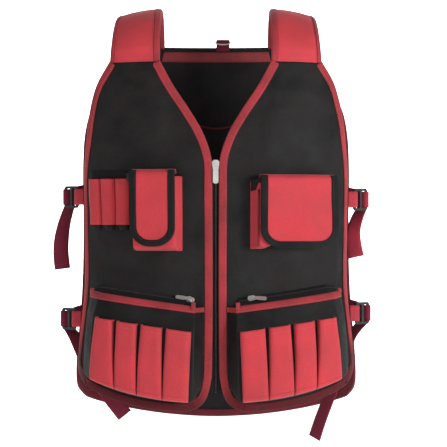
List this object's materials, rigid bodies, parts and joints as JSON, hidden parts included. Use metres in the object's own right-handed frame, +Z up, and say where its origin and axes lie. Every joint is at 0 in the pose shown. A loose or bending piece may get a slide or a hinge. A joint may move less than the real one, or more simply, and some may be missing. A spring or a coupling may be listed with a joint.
{
  "type": "utility work vest",
  "caption": "Open-fronted sleeveless utility work vest with padded shoulder straps, front zip, bellows chest pockets, pen loops, zipped lower pouches with tool slots, and buckled side straps.",
  "frame": {"origin": "midway between the undersides of the two shoulder straps, at their crest, where the wearer's shoulders carry the vest", "axes": "+Z up, -Y out of the vest's front, +X towards the wearer's left"},
  "size_m": [0.5063, 0.2776, 0.6987],
  "materials": {
    "red_cloth": "woven polyester",
    "dark_red_binding": "woven polyester",
    "black_cloth": "woven polyester, slight sheen",
    "red_webbing": "ribbed webbing",
    "dark_red_webbing": "ribbed webbing",
    "black_plastic": "moulded, satin",
    "zip_metal": "satin plated"
  },
  "bodies": {
    "vest": {"front_panel_right": "black_cloth", "front_binding_right": "red_cloth", "front_panel_left": "black_cloth", "front_binding_left": "red_cloth", "back_panel": "black_cloth", "back_binding": "dark_red_binding", "shoulder_strap_right": "red_cloth", "shoulder_strap_left": "red_cloth", "neck_tape": "dark_red_binding", "yoke_piping": "dark_red_binding", "hang_tab": "dark_red_webbing", "hang_ring": "zip_metal", "main_zip_tape_right": "black_cloth", "main_zip_tape_left": "black_cloth", "main_zip_chain": "black_cloth", "main_zip_slider": "zip_metal", "pen_loop_1": "red_cloth", "pen_loop_2": "red_cloth", "pen_loop_3": "red_cloth", "phone_pouch": "red_cloth", "phone_flap": "red_cloth", "phone_flap_edging": "black_cloth", "chest_pouch": "red_cloth", "chest_flap": "red_cloth", "chest_flap_edging": "black_cloth", "lower_pouch_right": "black_cloth", "tool_slot_right_1": "red_cloth", "tool_slot_right_2": "red_cloth", "tool_slot_right_3": "red_cloth", "tool_slot_right_4": "red_cloth", "pouch_piping_right": "red_cloth", "pocket_zip_right": "black_cloth", "pocket_slider_right": "zip_metal", "lower_pouch_left": "black_cloth", "tool_slot_left_1": "red_cloth", "tool_slot_left_2": "red_cloth", "tool_slot_left_3": "red_cloth", "tool_slot_left_4": "red_cloth", "pouch_piping_left": "red_cloth", "pocket_zip_left": "black_cloth", "pocket_slider_left": "zip_metal", "side_buckle_upper_right": "black_plastic", "side_strap_front_upper_right": "red_webbing", "side_strap_back_upper_right": "dark_red_webbing", "side_buckle_upper_left": "black_plastic", "side_strap_front_upper_left": "red_webbing", "side_strap_back_upper_left": "dark_red_webbing", "side_buckle_lower_right": "black_plastic", "side_strap_front_lower_right": "red_webbing", "side_strap_back_lower_right": "dark_red_webbing", "side_buckle_lower_left": "black_plastic", "side_strap_front_lower_left": "red_webbing", "side_strap_back_lower_left": "dark_red_webbing"},
    "main_zip_pull": {"main_zip_pull": "zip_metal"},
    "pocket_pull_right": {"pocket_pull_right": "zip_metal"},
    "pocket_pull_left": {"pocket_pull_left": "zip_metal"}
  },
  "joints": [
    {"name": "main_zip_pull_hinge", "type": "hinge", "parent": "vest", "child": "main_zip_pull", "pos_m": [0, -0.12441, -0.23681], "axis": [-1, 0, 0], "range_deg": [0, 140]},
    {"name": "pocket_pull_right_hinge", "type": "hinge", "parent": "vest", "child": "pocket_pull_right", "pos_m": [-0.03615, -0.13007, -0.445], "axis": [0.1355, 0.7589, 0.6369], "range_deg": [0, 140]},
    {"name": "pocket_pull_left_hinge", "type": "hinge", "parent": "vest", "child": "pocket_pull_left", "pos_m": [0.05277, -0.12877, -0.44269], "axis": [0.1629, -0.7532, -0.6373], "range_deg": [0, 140]}
  ]
}
